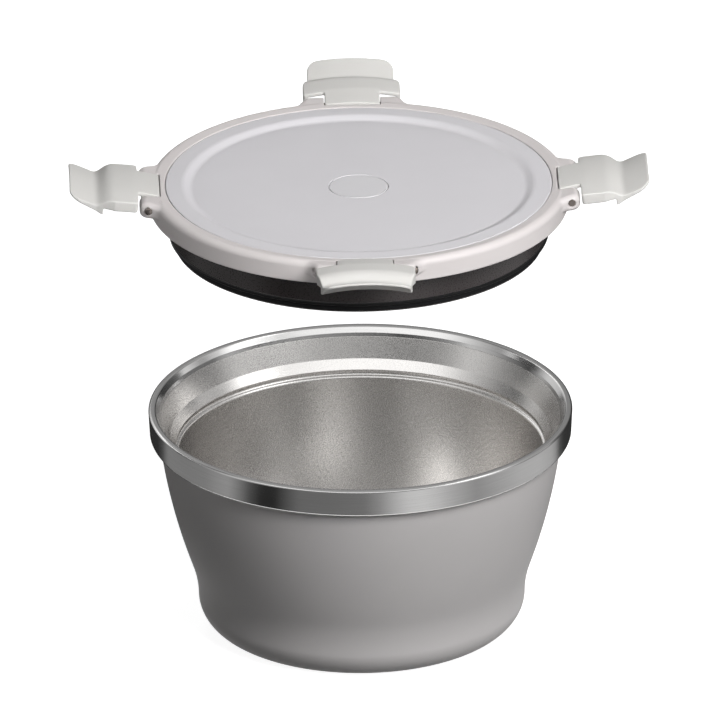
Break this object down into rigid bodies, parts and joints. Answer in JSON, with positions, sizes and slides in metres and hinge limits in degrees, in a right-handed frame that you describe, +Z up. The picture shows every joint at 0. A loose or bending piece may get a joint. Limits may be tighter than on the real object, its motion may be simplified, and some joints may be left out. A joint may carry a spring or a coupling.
{
  "type": "insulated bowl with clip-on lid",
  "caption": "Round double-wall steel food bowl with a brushed rim band and a lid that plugs into its mouth and clips under the rim with hinged latches.",
  "frame": {"origin": "on the table, on the bowl's axis, in the middle of the base", "axes": "+Z up along the bowl's axis, -Y towards the front latch, +X towards the right latch"},
  "size_m": [0.272, 0.272, 0.2296],
  "materials": {
    "painted_shell": "matte powder coat, fine grain",
    "satin_steel": "fine blasted satin",
    "brushed_band": "brushed along the rim",
    "base_steel": "satin",
    "getter_metal": "matte",
    "seal_bead": "glossy",
    "frame_plastic": "fine satin texture",
    "panel_plastic": "fine satin texture",
    "disc_plastic": "satin",
    "plug_plastic": "semi-gloss",
    "foam": "closed-cell foam",
    "silicone": "soft semi-gloss",
    "pin_steel": "polished",
    "latch_plastic": "fine satin texture"
  },
  "bodies": {
    "bowl": {"outer_shell": "painted_shell", "inner_liner": "satin_steel", "rim_band": "brushed_band", "base_plate": "base_steel", "getter": "getter_metal", "vacuum_seal_bead": "seal_bead"},
    "lid": {"lid_frame": "frame_plastic", "lid_panel": "panel_plastic", "centre_disc": "disc_plastic", "lid_plug": "plug_plastic", "lid_foam": "foam", "lid_seal": "silicone", "hinge_pin_right": "pin_steel", "hinge_pin_back": "pin_steel", "hinge_pin_left": "pin_steel", "hinge_pin_front": "pin_steel"},
    "right_latch": {"latch_right": "latch_plastic"},
    "back_latch": {"latch_back": "latch_plastic"},
    "left_latch": {"latch_left": "latch_plastic"},
    "front_latch": {"latch_front": "latch_plastic"}
  },
  "joints": [
    {"name": "lid_lift", "type": "slide", "parent": "bowl", "child": "lid", "axis": [0, 0, 1], "range_m": [-0.1046, 0]},
    {"name": "right_latch_hinge", "type": "hinge", "parent": "lid", "child": "right_latch", "pos_m": [0.0993, 0, 0.2201], "axis": [0, 1, 0], "range_deg": [0, 95.4]},
    {"name": "back_latch_hinge", "type": "hinge", "parent": "lid", "child": "back_latch", "pos_m": [0, 0.0993, 0.2201], "axis": [-1, 0, 0], "range_deg": [0, 95.4]},
    {"name": "left_latch_hinge", "type": "hinge", "parent": "lid", "child": "left_latch", "pos_m": [-0.0993, 0, 0.2201], "axis": [0, -1, 0], "range_deg": [0, 95.4]},
    {"name": "front_latch_hinge", "type": "hinge", "parent": "lid", "child": "front_latch", "pos_m": [0, -0.0993, 0.2201], "axis": [1, 0, 0], "range_deg": [0, 95.4]}
  ]
}
